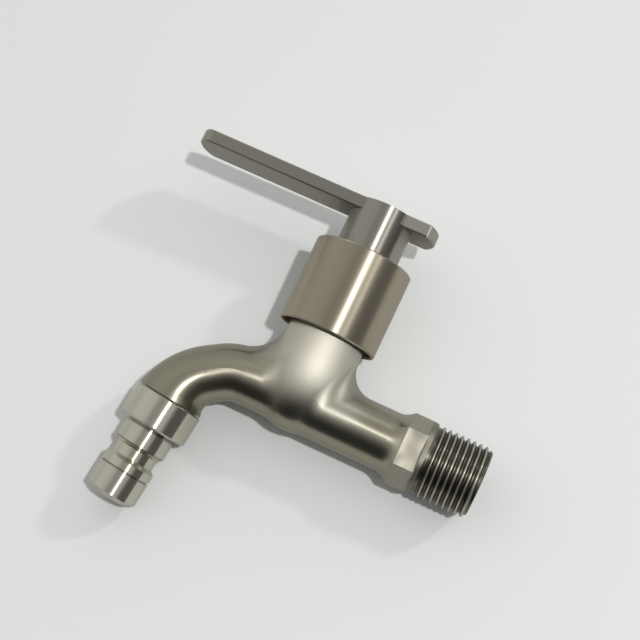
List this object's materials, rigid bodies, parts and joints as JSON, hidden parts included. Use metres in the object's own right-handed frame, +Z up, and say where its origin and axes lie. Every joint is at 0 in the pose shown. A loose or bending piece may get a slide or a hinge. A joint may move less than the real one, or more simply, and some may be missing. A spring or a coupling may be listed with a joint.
{
  "type": "washing machine tap",
  "caption": "Wall-mounted quarter-turn appliance tap with a flat lever, a plain round bonnet sleeve, a bent spout and a stepped nipple for a hose.",
  "frame": {"origin": "on the inlet's axis, where its thread starts beside the wrench flats", "axes": "+Z up along the stem, +Y along the inlet into the wall, spout and closed lever towards -Y, +X towards the side that the lever opens to"},
  "size_m": [0.0292, 0.1138, 0.1071],
  "materials": {
    "stainless_steel": "satin",
    "brass": "machined",
    "black_rubber": "moulded",
    "white_plastic": "moulded",
    "white_ceramic": "lapped"
  },
  "bodies": {
    "valve_body": {"tap_body": "stainless_steel", "bonnet_sleeve": "stainless_steel", "hose_nipple": "stainless_steel", "strainer_screen": "stainless_steel", "nipple_gasket": "black_rubber", "cartridge_housing": "brass", "housing_gasket": "black_rubber", "sleeve_locknut": "brass", "seat_seal": "black_rubber", "seal_support_ring": "white_plastic", "fixed_disc": "white_ceramic", "thrust_washer": "white_plastic"},
    "handle": {"lever_handle": "stainless_steel", "handle_grub_screw": "stainless_steel", "spindle": "brass", "stop_ring": "brass", "spindle_circlip": "stainless_steel", "spindle_o_ring_lower": "black_rubber", "spindle_o_ring_upper": "black_rubber", "moving_disc": "white_ceramic"}
  },
  "joints": [
    {"name": "lever_turn", "type": "hinge", "parent": "valve_body", "child": "handle", "pos_m": [0, -0.0399, 0], "axis": [0, 0, 1], "range_deg": [0, 90]}
  ]
}
